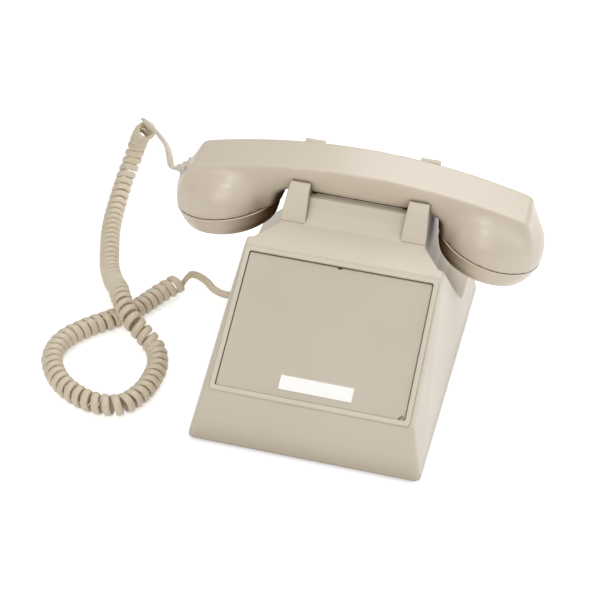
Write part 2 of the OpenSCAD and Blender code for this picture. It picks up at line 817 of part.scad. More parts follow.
// ---- Handset ----

// Stands a piece on the seam of a cup: s is -1 for the transmitter, 1 for the receiver
module on_cup(s) {
    translate([handset_x + s * cup_x, handset_y, seam_z]) rotate([0, s * cup_tilt, 0]) children();
}

// A slice of the handle at x, from z0 up to z1
module handle_slice(x, z0, z1, half = handle_width / 2) {
    c = min(handle_chamfer, (z1 - z0) / 3);
    translate([handset_x + x - 0.05, handset_y, 0]) rotate([90, 0, 90]) linear_extrude(0.1)
        polygon([
            [-half + 2 * c, z0], [half - 2 * c, z0], [half, z0 + 2 * c], [half, z1 - c],
            [half - c, z1], [-half + c, z1], [-half, z1 - c], [-half, z0 + 2 * c]
        ]);
}

module handle_back() {
    hull() for (i = [-6:6]) {
        x = i / 6 * handle_half;
        handle_slice(x, handle_under_z, handle_top_z - back_drop(x) + (abs(i) == 6 ? -1 : 0));
    }
}

module cup(s) {
    end = handle_half * s;
    hull() {
        on_cup(s) cylinder(0.1, cup_r, cup_r, $fn = 48);
        on_cup(s) for (d = cup_dome) translate([0, 0, d[0]])
            cylinder(0.1, cup_r - d[1], cup_r - d[1], $fn = 48);
        handle_slice(s * cup_neck, handle_under_z, handle_under_z + 8);
        handle_slice(end, handle_under_z - 2, handle_top_z - handle_drop - 2);
        handle_slice(end + s * end_reach[0], handle_under_z - 8, handle_under_z - 1, end_half);
        handle_slice(end + s * end_reach[1], seam_z + 2, handset_jack_z - 1, end_half);
    }
}

module handset_shell() {
    jack_h = socket_h + 2 * jack_wall + 0.2;
    jack_w = socket_w + 2 * jack_wall + 0.2;
    color(beige) difference() {
        union() {
            handle_back();
            cup(-1);
            cup(1);
        }
        for (s = [-1, 1]) on_cup(s) translate([0, 0, -1])
            cylinder(pocket_depth + 1, capsule_r + seat, capsule_r + seat);
        translate([handset_jack_face_x - 5, handset_y - jack_w / 2, handset_jack_z - jack_h / 2])
            cube([socket_depth + jack_wall + 5.1, jack_w, jack_h]);
    }
}

module cap_profile() {
    t = 2.2;
    polygon([
        [cup_r, -seat], [cup_r + 0.4, -seat - rim_h / 2], [cup_r, -seat - rim_h],
        [cup_r - 1.4, -cap_h * 0.55], [cup_r - 3.4, -cap_h * 0.85], [cup_r - 6.5, -cap_h],
        [0, -cap_h + 0.8], [0, -cap_h + 0.8 + t], [cup_r - 8, -cap_h + t],
        [cup_r - 5.4, -cap_h * 0.85 + t * 0.6], [cup_r - 3.8, -cap_h * 0.55],
        [cup_r - t - 0.4, -rim_h], [cup_r - t - 0.4, -seat]
    ]);
}

module screw_cap(s, holes) {
    color(beige) on_cup(s) difference() {
        rotate_extrude($fn = 64) cap_profile();
        for (h = holes) translate([h[0] * cos(h[1]), h[0] * sin(h[1]), -cap_h - 1])
            cylinder(6, 1.1, 1.1, $fn = 16);
    }
}

module transmitter_cap() {
    screw_cap(-1, [for (a = [0:60:359]) [5, a], for (a = [0:30:359]) [11, a + 15]]);
}

module receiver_cap() {
    screw_cap(1, concat([[0, 0]], [for (a = [0:60:359]) [7, a]]));
}

module transmitter_capsule() {
    color(steel) on_cup(-1) translate([0, 0, -capsule_low]) difference() {
        cylinder(capsule_low + 4, capsule_r - 1.6, capsule_r);
        translate([0, 0, -1]) cylinder(2, capsule_r - 7, capsule_r - 7);
    }
}

module transmitter_contacts() {
    color(black) on_cup(-1) translate([0, 0, 4]) difference() {
        cylinder(pocket_depth - 4, capsule_r, capsule_r);
        translate([0, 0, 2]) cylinder(pocket_depth, capsule_r - 3, capsule_r - 3);
    }
}

module receiver_capsule() {
    color(steel) on_cup(1) translate([0, 0, -capsule_low]) union() {
        cylinder(capsule_low + 3, capsule_r - 1.6, capsule_r);
        translate([0, 0, capsule_low + 3 - eps])
            cylinder(pocket_depth - 3, capsule_r - 6, capsule_r - 6);
    }
}

// ---- Cord ----

module cord_coil() {
    color(beige) swept_tube(coil_route, coil_d / 2, 2);
}

module cord_lead_handset() {
    color(beige) swept_tube(lead_handset_route, lead_d / 2, 2);
}

module cord_lead_base() {
    color(beige) swept_tube(lead_base_route, lead_d / 2, 2);
}

base_plate();
foot(-1, -1);  // foot_front_left
foot(1, -1);  // foot_front_right
foot(-1, 1);  // foot_rear_left
foot(1, 1);  // foot_rear_right
housing();
housing_screws();
faceplate();
label_plate();
hook_plunger(-1);  // hook_plunger_left
hook_plunger(1);  // hook_plunger_right
hookswitch_bracket();
hookswitch_pin();
hookswitch_lever();
hookswitch_contacts();
hookswitch_spring();
network_block();
network_terminals();
ringer_frame();
ringer_core();
ringer_coil();
gong(-1);  // gong_left
gong(1);  // gong_right
gong_screws();
clapper();
loudness_bracket();
loudness_wheel();
line_jack();
base_jack();
handset_shell();
transmitter_cap();
receiver_cap();
transmitter_capsule();
receiver_capsule();
transmitter_contacts();
handset_jack();
cord_plug_handset();
cord_lead_handset();
cord_coil();
cord_lead_base();
cord_plug_base();
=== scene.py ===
"""Dresses the corded desk telephone: camera, curly cord, smooth handset, materials and light."""
import json
import math

import bpy
import numpy as np
from mathutils import Matrix, Vector


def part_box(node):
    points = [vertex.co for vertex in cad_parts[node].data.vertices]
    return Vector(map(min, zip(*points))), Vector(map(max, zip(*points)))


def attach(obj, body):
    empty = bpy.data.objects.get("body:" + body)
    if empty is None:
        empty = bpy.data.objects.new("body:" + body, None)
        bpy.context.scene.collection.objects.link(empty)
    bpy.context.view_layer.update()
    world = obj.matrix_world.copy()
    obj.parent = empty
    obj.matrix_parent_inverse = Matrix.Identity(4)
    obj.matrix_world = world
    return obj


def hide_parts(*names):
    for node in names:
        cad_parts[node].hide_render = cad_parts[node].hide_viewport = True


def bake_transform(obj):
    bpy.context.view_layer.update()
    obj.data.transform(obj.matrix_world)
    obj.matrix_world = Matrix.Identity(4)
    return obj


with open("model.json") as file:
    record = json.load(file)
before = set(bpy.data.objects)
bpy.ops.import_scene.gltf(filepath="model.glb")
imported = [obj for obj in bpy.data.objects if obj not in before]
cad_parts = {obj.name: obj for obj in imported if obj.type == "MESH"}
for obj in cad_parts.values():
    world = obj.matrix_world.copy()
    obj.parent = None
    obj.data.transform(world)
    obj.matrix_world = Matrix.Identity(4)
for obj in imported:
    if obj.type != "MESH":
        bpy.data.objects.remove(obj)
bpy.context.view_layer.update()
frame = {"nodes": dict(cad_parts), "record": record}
nodes = frame["nodes"]

MM = 0.001

# ---- Camera ----

CAMERA_AZIMUTH = 8.95       # degrees to the right of straight in front
CAMERA_ELEVATION = 34.71    # degrees above the table
CAMERA_ROLL = -5.43         # degrees, the object turned clockwise in the picture
CAMERA_DISTANCE = 0.973     # metres from the point it aims at
CAMERA_AIM = Vector((-0.0242, -0.0108, 0.0444))
CAMERA_LENS = 98.34         # millimetres, on the sensor below
CAMERA_SENSOR = 36
CAMERA_REACH = 50


def add_camera():
    az, el, roll = (math.radians(a) for a in (CAMERA_AZIMUTH, CAMERA_ELEVATION, CAMERA_ROLL))
    back = Vector((math.sin(az) * math.cos(el), -math.cos(az) * math.cos(el), math.sin(el)))
    right = Vector((math.cos(az), math.sin(az), 0))
    up = back.cross(right)
    tilted_up = up * math.cos(roll) + right * math.sin(roll)
    tilted_right = tilted_up.cross(back)
    data = bpy.data.cameras.new("camera")
    data.lens = CAMERA_LENS
    data.sensor_width = CAMERA_SENSOR
    data.clip_end = CAMERA_REACH
    camera = bpy.data.objects.new("camera", data)
    axes = Matrix((tilted_right, tilted_up, back)).transposed().to_4x4()
    camera.matrix_world = Matrix.Translation(CAMERA_AIM + CAMERA_DISTANCE * back) @ axes
    bpy.context.scene.collection.objects.link(camera)
    bpy.context.scene.camera = camera


add_camera()


# ---- Mesh helpers ----

def new_object(name, verts, faces, smooth=True):
    mesh = bpy.data.meshes.new(name)
    mesh.from_pydata([tuple(v) for v in verts], [], faces)
    mesh.update()
    obj = bpy.data.objects.new(name, mesh)
    bpy.context.scene.collection.objects.link(obj)
    if smooth:
        mesh.polygons.foreach_set("use_smooth", [True] * len(mesh.polygons))
    return obj


def spline_points(points, steps):
    """Catmull-Rom points through a route."""
    out = []
    for i in range(len(points) - 1):
        a = points[max(i - 1, 0)]
        b, c = points[i], points[i + 1]
        d = points[min(i + 2, len(points) - 1)]
        for k in range(steps):
            t = k / steps
            out.append(0.5 * (2 * b + (c - a) * t + (2 * a - 5 * b + 4 * c - d) * t * t
                              + (3 * b - a - 3 * c + d) * t * t * t))
    out.append(points[-1])
    return out


def tangents(points):
    last = len(points) - 1
    return [(points[min(i + 1, last)] - points[max(i - 1, 0)]).normalized() for i in range(last + 1)]


def carry_normals(points, first):
    """Normals carried along a line without twist, starting from the given one."""
    out = []
    n = first
    for t in tangents(points):
        n = (n - t * n.dot(t)).normalized()
        out.append(n)
    return out


def path_length(points):
    return sum((b - a).length for a, b in zip(points, points[1:]))


def even_points(points, step):
    """The same line with points a step apart."""
    total = path_length(points)
    count = max(2, round(total / step))
    out, travelled, i = [points[0]], 0.0, 0
    for k in range(1, count):
        target = total * k / count
        while travelled + (points[i + 1] - points[i]).length < target:
            travelled += (points[i + 1] - points[i]).length
            i += 1
        a, b = points[i], points[i + 1]
        out.append(a.lerp(b, (target - travelled) / (b - a).length))
    out.append(points[-1])
    return out


# ---- Curly cord ----

CORD_WIDTH = 4.7 * MM
CORD_THICKNESS = 2.7 * MM
COIL_DIAMETER = 13 * MM
COIL_PITCH = 5.75 * MM
POINTS_PER_TURN = 14
CORD_SIDES = 10
ROUTE_STEPS = 12            # spline points between two points of the coil's route
ROUTE_STEP = 0.4 * MM
FIRST_NORMAL = Vector((0.3, 0.2, 1))
LEAD_STEPS = 8
LEAD_STRAIGHT = 4 * MM

LEAD_HANDSET_ROUTE = [(-151, 116, 68), (-141, 97, 74), (-132, 77, 80.5), (-125.5, 58, 86)]
COIL_ROUTE = [
    (-160, 128, 60), (-165, 136, 53), (-169, 140, 43), (-172, 137, 31), (-174, 127, 21),
    (-174, 114, 14), (-173, 100, 9), (-170, 83, 7), (-164, 61, 6.6), (-157, 39, 7),
    (-148, 19, 11), (-141, 5, 17), (-136, -7, 20.5), (-130, -18, 21), (-122, -27, 18),
    (-113, -31, 12), (-105, -36, 7.5), (-100, -48, 6.6), (-99, -61, 6.6), (-101, -77, 6.6),
    (-109, -92, 6.6), (-124, -95, 6.6), (-140, -89, 6.6), (-153, -77, 6.6), (-161, -61, 6.6),
    (-160, -43, 6.6), (-150, -26, 6.6), (-140, -15, 6.6), (-130, -2, 6.6), (-124, 10, 6.6),
    (-118, 22, 7.5), (-110, 32, 10),
]
LEAD_BASE_ROUTE = [(-104, 35.5, 14.5), (-98, 32, 18.5), (-91, 28.5, 18), (-85, 26, 14.5)]
PLUG_TUCK = 0.6 * MM


def plug_mouth(node):
    """Where a lead enters its plug: the middle of the plug's left end."""
    low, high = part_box(node)
    return Vector((low[0] + PLUG_TUCK, (low[1] + high[1]) / 2, (low[2] + high[2]) / 2))


def in_metres(route):
    return [Vector(p) * MM for p in route]


def helix_frames():
    """Points of the coil's helix, each with its outward direction."""
    line = even_points(spline_points(in_metres(COIL_ROUTE), ROUTE_STEPS), ROUTE_STEP)
    total = path_length(line)
    normals = carry_normals(line, FIRST_NORMAL)
    along = tangents(line)
    turns = round(total / COIL_PITCH)
    radius = COIL_DIAMETER / 2 - CORD_THICKNESS / 2
    count = turns * POINTS_PER_TURN
    points, outward = [], []
    for i in range(count + 1):
        k = min(i / count * (len(line) - 1), len(line) - 1.001)
        j, part = int(k), k - int(k)
        centre = line[j].lerp(line[j + 1], part)
        n = normals[j].lerp(normals[j + 1], part).normalized()
        b = along[j].cross(n).normalized()
        angle = math.tau * i / POINTS_PER_TURN
        out = n * math.cos(angle) + b * math.sin(angle)
        points.append(centre + out * radius)
        outward.append(out)
    return points, outward


def lead_points(route, start, following, end):
    """A lead from the coil's first or last turn to its plug, straight at both ends."""
    away = (start - following).normalized() * LEAD_STRAIGHT
    before_plug = end - Vector((LEAD_STRAIGHT, 0, 0))
    return spline_points([start, start + away] + in_metres(route) + [before_plug, end], LEAD_STEPS)[1:]


def jacket_ring(point, tangent, normal):
    """One ring of the flat jacket, around a point of the cord's line."""
    n = (normal - tangent * normal.dot(tangent)).normalized()
    b = tangent.cross(n)
    angles = [math.tau * (k + 0.5) / CORD_SIDES for k in range(CORD_SIDES)]
    return [point + n * (CORD_THICKNESS / 2 * math.sin(a)) + b * (CORD_WIDTH / 2 * math.cos(a))
            for a in angles]


def tube_faces(rings, sides):
    """Quads between neighbouring rings, and a face over each end."""
    faces = []
    for i in range(rings - 1):
        for k in range(sides):
            j = (k + 1) % sides
            faces.append((i * sides + k, i * sides + j, (i + 1) * sides + j, (i + 1) * sides + k))
    faces.append(tuple(range(sides - 1, -1, -1)))
    faces.append(tuple((rings - 1) * sides + k for k in range(sides)))
    return faces


def build_cord():
    """The whole cord, from the base's plug to the handset's, and its line."""
    coil, outward = helix_frames()
    head = lead_points(LEAD_HANDSET_ROUTE, coil[0], coil[1], plug_mouth("cord_plug_handset"))
    tail = lead_points(LEAD_BASE_ROUTE, coil[-1], coil[-2], plug_mouth("cord_plug_base"))
    head_normals = carry_normals([coil[0]] + head, outward[0])[1:]
    tail_normals = carry_normals([coil[-1]] + tail, outward[-1])[1:]
    points = tail[::-1] + coil[::-1] + head
    normals = tail_normals[::-1] + outward[::-1] + head_normals
    verts = []
    for point, tangent, normal in zip(points, tangents(points), normals):
        verts += jacket_ring(point, tangent, normal)
    return new_object("curly_cord", verts, tube_faces(len(points), CORD_SIDES)), points


cord, cord_line = build_cord()
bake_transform(cord)
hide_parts("cord_coil", "cord_lead_handset", "cord_lead_base")


# ---- Handset shell, as one smooth form ----

# In millimetres: u along the handset and v across it, from its middle, and z up from the table

HANDSET_X, HANDSET_Y = -1.5, 42
CUP_X, CUP_R, CUP_TILT = 81, 32, 12.5
SEAM_Z = 76
DOME_H, DOME_POWER = 27.7, 2.3
CUP_ROUND, CUP_MARGIN = 5, 4            # rounding to the handle, and room around a cup
HANDLE_UNDER, HANDLE_TOP = 97.9, 114.3
HANDLE_DROP, HANDLE_HALF = 13, 101      # the back falls by the drop over half the handle
HANDLE_SIDE = 17
NECK_X, NECK_SLOPE = 44.4, 0.3          # the necks' inner sides, from the middle of the ears
NECK_BEFORE, NECK_ROUND = 3, 16
UNDER_ROUND, SIDE_ROUND, BACK_ROUND = 9, 1.4, 1.6
SLANT_X, SLANT_Z = 102, 101             # a point of the slanted end
SLANT_U, SLANT_UP = 0.811, 0.586        # its outward direction
LEFT_END, RIGHT_END = 107, 104.5        # the left one reaches almost to the jack's face
END_ROUND, END_EDGE = 6, 3
POCKET_R, POCKET_DEPTH = 26, 9
JACK_Z, JACK_HALF_W, JACK_HALF_H = 88, 6.2, 5.5
JACK_INNER_X = 94                       # how far left of the middle its opening begins
SHELL_CELL = 1.0
SHELL_LOW, SHELL_HIGH = (-120, 8, 62), (114, 76, 117)
SHARP_ANGLE = math.radians(38)


def smooth_max(a, b, k):
    h = np.clip(0.5 + 0.5 * (a - b) / k, 0, 1)
    return b + (a - b) * h + k * h * (1 - h)


def smooth_min(a, b, k):
    return -smooth_max(-a, -b, k)


def handle_block(u, v, z):
    """The handle and both its necks, as one profile 34 mm wide, open at the back."""
    beside = NECK_X + (HANDLE_UNDER - z) * NECK_SLOPE - np.abs(u + HANDSET_X)
    neck = smooth_max(beside / math.hypot(1, NECK_SLOPE), -v - HANDLE_SIDE - NECK_BEFORE, NECK_ROUND)
    under = smooth_min(HANDLE_UNDER - z, neck, UNDER_ROUND)
    slanted = SLANT_U * (np.abs(u) - SLANT_X) + SLANT_UP * (z - SLANT_Z)
    end = smooth_max(slanted, np.maximum(u - RIGHT_END, -u - LEFT_END), END_ROUND)
    return smooth_max(smooth_max(np.abs(v) - HANDLE_SIDE, under, SIDE_ROUND), end, END_EDGE)


def cup_place(u, v, z, side):
    """Distance from a cup's tilted axis and height above its seam."""
    a = math.radians(CUP_TILT) * side
    du, dz = u - side * CUP_X, z - SEAM_Z
    return np.hypot(du * math.cos(a) - dz * math.sin(a), v), du * math.sin(a) + dz * math.cos(a)


def with_cup(body, u, v, z, side):
    """The body joined with one cup, flat at its seam and hollow inside."""
    rho, height = cup_place(u, v, z, side)
    rise = np.maximum(height, 0) / DOME_H
    dome = ((rho / CUP_R) ** DOME_POWER + rise ** DOME_POWER) ** (1 / DOME_POWER) - 1
    body = smooth_min(body, CUP_R * dome, CUP_ROUND)
    pocket = np.maximum(rho - POCKET_R, height - POCKET_DEPTH)
    near = side * u > CUP_X - CUP_R - CUP_MARGIN
    return np.where(near, np.maximum(np.maximum(body, -height), -pocket), body)


def handset_field(x, y, z):
    """Negative inside the shell, in millimetres."""
    u, v = x - HANDSET_X, y - HANDSET_Y
    body = handle_block(u, v, z)
    for side in (-1, 1):
        body = with_cup(body, u, v, z, side)
    top = HANDLE_TOP - HANDLE_DROP * (u / HANDLE_HALF) ** 2
    back = (z - top) / np.hypot(1, 2 * HANDLE_DROP * u / HANDLE_HALF ** 2)
    jack = np.maximum(np.abs(v) - JACK_HALF_W, np.abs(z - JACK_Z) - JACK_HALF_H)
    cut = np.maximum(jack, u + JACK_INNER_X)
    return np.maximum(smooth_max(body, back, BACK_ROUND), -cut)


def corner_slices(corner, size):
    return tuple(slice(c, n - 1 + c) for c, n in zip(corner, size))


def settled(points, field, rounds=4, reach=0.05, longest=0.4, flattest=0.3):
    """Points moved onto the zero surface, along the field's own slope."""
    for _ in range(rounds):
        slope = np.stack([field(*(points + d).T) - field(*(points - d).T) for d in reach * np.eye(3)],
                         axis=1) / (2 * reach)
        steep = np.maximum((slope ** 2).sum(axis=1), flattest)
        away = np.clip(field(*points.T) / steep, -longest, longest)
        points = points - slope * away[:, None]
    return points


def crossing_sums(values):
    """For each cell, the sum of the places where the surface crosses its edges, and their number."""
    size = values.shape
    total = np.zeros([n - 1 for n in size] + [3])
    count = np.zeros([n - 1 for n in size])
    for axis in range(3):
        step = [int(axis == k) for k in range(3)]
        others = [k for k in range(3) if k != axis]
        for p, q in ((0, 0), (0, 1), (1, 0), (1, 1)):
            corner = [0, 0, 0]
            corner[others[0]], corner[others[1]] = p, q
            a = values[corner_slices(corner, size)]
            b = values[corner_slices([c + d for c, d in zip(corner, step)], size)]
            crossed = (a < 0) != (b < 0)
            share = np.where(crossed, a / np.where(crossed, a - b, 1), 0)
            for k in range(3):
                total[..., k] += crossed * (corner[k] + (share if k == axis else 0))
            count += crossed
    return total, count


def crossed_quads(values, number):
    """A quad around each grid line that crosses the surface."""
    size = values.shape
    quads = []
    for axis in range(3):
        o1, o2 = (axis + 1) % 3, (axis + 2) % 3
        near, far = [slice(None)] * 3, [slice(None)] * 3
        near[axis], far[axis] = slice(0, -1), slice(1, None)
        a, b = values[tuple(near)] < 0, values[tuple(far)] < 0
        for flip in (False, True):
            edge = np.argwhere((b & ~a) if flip else (a & ~b))
            edge = edge[(edge[:, o1] > 0) & (edge[:, o2] > 0)]
            edge = edge[(edge[:, o1] < size[o1] - 1) & (edge[:, o2] < size[o2] - 1)]
            around = []
            for d1, d2 in ((-1, -1), (0, -1), (0, 0), (-1, 0)):
                at = edge.copy()
                at[:, o1] += d1
                at[:, o2] += d2
                around.append(number[tuple(at.T)])
            quads.append(np.stack(around[::-1] if flip else around, axis=1))
    return np.concatenate(quads)


def field_mesh(name, field, low, high, cell):
    """The zero surface of a field as an even net of quads."""
    axes = [np.arange(a, b + cell, cell) for a, b in zip(low, high)]
    values = field(*np.meshgrid(*axes, indexing="ij"))
    total, count = crossing_sums(values)
    used = count > 0
    number = np.full(count.shape, -1)
    number[used] = np.arange(used.sum())
    points = np.array(low) + (np.argwhere(used) + total[used] / count[used][:, None]) * cell
    verts = settled(points, field) * MM
    obj = new_object(name, verts.tolist(), crossed_quads(values, number).tolist())
    obj.data.set_sharp_from_angle(angle=SHARP_ANGLE)
    return obj


handset = field_mesh("handset_form", handset_field, SHELL_LOW, SHELL_HIGH, SHELL_CELL)
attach(handset, "handset")
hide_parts("handset_shell")


# ---- Rounded rims of the two caps, just under the seams ----

RIM_R, RIM_TUBE, RIM_DROP = 31.9, 0.5, 0.8
RIM_STEPS, RIM_SIDES = 96, 8


def cap_rim(name, side):
    """A thin ring around a cap. The side is -1 for the left cup and 1 for the right."""
    a = math.radians(CUP_TILT) * side
    axis = Vector((math.sin(a), 0, math.cos(a)))
    across = Vector((math.cos(a), 0, -math.sin(a)))
    centre = Vector((HANDSET_X + side * CUP_X, HANDSET_Y, SEAM_Z)) - axis * RIM_DROP
    verts, faces = [], []
    for i in range(RIM_STEPS):
        turn = math.tau * i / RIM_STEPS
        out = across * math.cos(turn) + Vector((0, math.sin(turn), 0))
        here, there = i * RIM_SIDES, (i + 1) % RIM_STEPS * RIM_SIDES
        for k in range(RIM_SIDES):
            b = math.tau * k / RIM_SIDES
            spot = centre + out * (RIM_R + RIM_TUBE * math.cos(b)) + axis * RIM_TUBE * math.sin(b)
            verts.append(spot * MM)
            after = (k + 1) % RIM_SIDES
            faces.append((here + k, there + k, there + after, here + after))
    rim = new_object(name, verts, faces)
    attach(rim, "handset")
    return rim


rims = [cap_rim("transmitter_rim", -1), cap_rim("receiver_rim", 1)]


# ---- Low rib on the wall between the front ears, under the handle ----

# The rib fills the slot under the handle, where there is only shade; the housing's painted shade darkens
# it.
RIB_HALF, RIB_Y, RIB_Z = 26 * MM, (25.4 * MM, 26.8 * MM), (96 * MM, 97.3 * MM)


def rib_between_ears():
    half, (y0, y1), (z0, z1) = RIB_HALF, RIB_Y, RIB_Z
    verts = [(x, y, z) for x in (-half, half) for y, z in ((y0, z0), (y1, z0), (y1, z1), (y0, z1))]
    faces = [(0, 1, 2, 3), (7, 6, 5, 4)] + [(k, k + 4, (k + 1) % 4 + 4, (k + 1) % 4) for k in range(4)]
    rib = new_object("bridge_rib", verts, faces, smooth=False)
    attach(rib, "base")
    return rib


rib = rib_between_ears()


# ---- Materials ----

SOFT_EDGE, EDGE_SAMPLES = 1.1 * MM, 6
# Reach and samples of the painted shade in gaps and hollow places; it also lowers the shine there.
PAINTED_SHADE_REACH, PAINTED_SHADE_SAMPLES = 40 * MM, 8
PAINTED_SHADE_RANGE = (0.12, 0.72)             # openness with the full painted shade and with none
OPEN_SHINE = 0.6
CLOUD, WEAR, STREAKS = (14, 4), (45, 5), (60, 6)    # scale and detail of the noise
PLASTIC_GRAIN, PLASTIC_IOR = 0.03 * MM, 1.5
METAL_GRAIN, METAL_ROUGH = 0.04 * MM, (0.25, 0.4)
CARD_PAINTED_GLOW = 0.17                        # painted light: the card glows though it is no lamp, as the bare plate is burnt out in the photograph


def rgb(r, g, b):
    """A linear colour from the usual 0 to 255 screen values."""
    def linear(v):
        v /= 255
        return v / 12.92 if v <= 0.04045 else ((v + 0.055) / 1.055) ** 2.4
    return (linear(r), linear(g), linear(b), 1)


# Painted shade: the warm dark tint laid over the plastic's colour in gaps and hollow places.
PAINTED_SHADE_TINT = rgb(120, 98, 72)


def node_material(name):
    mat = bpy.data.materials.new(name)
    mat.use_nodes = True
    shader = mat.node_tree.nodes["Principled BSDF"]
    return mat, mat.node_tree, shader


def noise(tree, scale, detail, stretch=(1, 1, 1)):
    """Noise in the piece's own coordinates."""
    coords = tree.nodes.new("ShaderNodeTexCoord")
    mapping = tree.nodes.new("ShaderNodeMapping")
    mapping.inputs["Scale"].default_value = stretch
    tex = tree.nodes.new("ShaderNodeTexNoise")
    tex.inputs["Scale"].default_value = scale
    tex.inputs["Detail"].default_value = detail
    tree.links.new(coords.outputs["Object"], mapping.inputs["Vector"])
    tree.links.new(mapping.outputs["Vector"], tex.inputs["Vector"])
    return tex


def ramp(tree, source, low, high, low_colour, high_colour):
    node = tree.nodes.new("ShaderNodeValToRGB")
    node.color_ramp.elements[0].position = low
    node.color_ramp.elements[1].position = high
    node.color_ramp.elements[0].color = low_colour
    node.color_ramp.elements[1].color = high_colour
    tree.links.new(source, node.inputs["Fac"])
    return node


def ranged(tree, source, low, high):
    node = tree.nodes.new("ShaderNodeMapRange")
    node.inputs["To Min"].default_value = low
    node.inputs["To Max"].default_value = high
    tree.links.new(source, node.inputs["Value"])
    return node


def set_colour(tree, shader, source, low, high, dark, light):
    colour = ramp(tree, source, low, high, dark, light)
    tree.links.new(colour.outputs["Color"], shader.inputs["Base Color"])


def set_roughness(tree, shader, source, rough):
    gloss = ranged(tree, source, *rough)
    tree.links.new(gloss.outputs["Result"], shader.inputs["Roughness"])


def soft_edges(tree, radius):
    node = tree.nodes.new("ShaderNodeBevel")
    node.samples = EDGE_SAMPLES
    node.inputs["Radius"].default_value = radius
    return node.outputs["Normal"]


def bump(tree, shader, source, distance, edge=None):
    node = tree.nodes.new("ShaderNodeBump")
    if edge:
        tree.links.new(soft_edges(tree, edge), node.inputs["Normal"])
    node.inputs["Distance"].default_value = distance
    node.inputs["Strength"].default_value = 1
    tree.links.new(source, node.inputs["Height"])
    tree.links.new(node.outputs["Normal"], shader.inputs["Normal"])


def painted_shade_colour(tree, shader, colour, reach):
    """The colour with painted shade: warmer, darker and duller in narrow gaps and hollow places, and less
    shiny there.
    """
    hollow = tree.nodes.new("ShaderNodeAmbientOcclusion")
    hollow.samples = PAINTED_SHADE_SAMPLES
    hollow.inputs["Distance"].default_value = reach
    tint = ramp(tree, hollow.outputs["AO"], *PAINTED_SHADE_RANGE, PAINTED_SHADE_TINT, (1, 1, 1, 1))
    shine = ranged(tree, hollow.outputs["AO"], 0, OPEN_SHINE)
    tree.links.new(shine.outputs["Result"], shader.inputs["Specular IOR Level"])
    mix = tree.nodes.new("ShaderNodeMix")
    mix.data_type = "RGBA"
    mix.blend_type = "MULTIPLY"
    mix.inputs["Factor"].default_value = 1
    tree.links.new(colour, mix.inputs["A"])
    tree.links.new(tint.outputs["Color"], mix.inputs["B"])
    return mix.outputs["Result"]


def moulded_plastic(name, light, dark, rough=(0.3, 0.42), spots=900, edge=None, painted_shade=None):
    """Moulded plastic: a faint cloudiness, uneven gloss, a fine grain and softened edges, and painted
    shade in hollow places when a reach is given.
    """
    mat, tree, shader = node_material(name)
    cloud = noise(tree, *CLOUD)
    colour = ramp(tree, cloud.outputs["Fac"], 0.3, 0.7, dark, light).outputs["Color"]
    # Painted shade: the colour darkened and warmed where the surface is closed in.
    if painted_shade:
        colour = painted_shade_colour(tree, shader, colour, painted_shade)
    tree.links.new(colour, shader.inputs["Base Color"])
    wear = noise(tree, *WEAR)
    set_roughness(tree, shader, wear.outputs["Fac"], rough)
    fine = noise(tree, spots, 2)
    bump(tree, shader, fine.outputs["Fac"], PLASTIC_GRAIN, edge)
    shader.inputs["IOR"].default_value = PLASTIC_IOR
    return mat


def metal(name, light, dark, stretch=(1, 1, 1)):
    mat, tree, shader = node_material(name)
    streaks = noise(tree, *STREAKS, stretch)
    set_colour(tree, shader, streaks.outputs["Fac"], 0.3, 0.75, dark, light)
    set_roughness(tree, shader, streaks.outputs["Fac"], METAL_ROUGH)
    bump(tree, shader, streaks.outputs["Fac"], METAL_GRAIN)
    shader.inputs["Metallic"].default_value = 1
    return mat


def clear_plastic():
    mat, tree, shader = node_material("clear_plastic")
    cloud = noise(tree, 120, 3)
    set_colour(tree, shader, cloud.outputs["Fac"], 0.3, 0.7, rgb(232, 228, 218), rgb(246, 243, 236))
    shader.inputs["Roughness"].default_value = 0.22
    shader.inputs["Transmission Weight"].default_value = 0.2
    return mat


def rubber():
    mat, tree, shader = node_material("foot_rubber")
    grain = noise(tree, 500, 4)
    set_colour(tree, shader, grain.outputs["Fac"], 0.3, 0.7, rgb(22, 22, 22), rgb(40, 40, 40))
    shader.inputs["Roughness"].default_value = 0.75
    bump(tree, shader, grain.outputs["Fac"], 0.1 * MM)
    return mat


def paper_card():
    mat, tree, shader = node_material("label_card")
    fibres = noise(tree, 700, 5, (1, 1, 2))
    set_colour(tree, shader, fibres.outputs["Fac"], 0.2, 0.8, rgb(244, 244, 242), rgb(252, 252, 251))
    shader.inputs["Roughness"].default_value = 0.6
    # Painted light: the card glows though it is no lamp.
    shader.inputs["Emission Color"].default_value = (1, 1, 1, 1)
    shader.inputs["Emission Strength"].default_value = CARD_PAINTED_GLOW
    bump(tree, shader, fibres.outputs["Fac"], 0.02 * MM)
    return mat


def copper_winding():
    mat, tree, shader = node_material("coil_wire")
    coords = tree.nodes.new("ShaderNodeTexCoord")
    wave = tree.nodes.new("ShaderNodeTexWave")
    wave.inputs["Scale"].default_value = 900
    tree.links.new(coords.outputs["Object"], wave.inputs["Vector"])
    set_colour(tree, shader, wave.outputs["Fac"], 0.1, 0.9, rgb(92, 44, 22), rgb(176, 98, 52))
    shader.inputs["Roughness"].default_value = 0.35
    bump(tree, shader, wave.outputs["Fac"], 0.2 * MM)
    return mat


# The housing and the handset carry painted shade in their gaps and hollow places.
HOUSING = moulded_plastic("housing_plastic", rgb(224, 214, 196), rgb(220, 209, 190), edge=SOFT_EDGE,
                          painted_shade=PAINTED_SHADE_REACH)
PANEL = moulded_plastic("panel_plastic", rgb(214, 204, 186), rgb(209, 198, 180), rough=(0.42, 0.5),
                        edge=SOFT_EDGE)
HANDSET = moulded_plastic("handset_plastic", rgb(231, 218, 200), rgb(229, 216, 198), rough=(0.28, 0.31),
                          edge=SOFT_EDGE, painted_shade=PAINTED_SHADE_REACH)
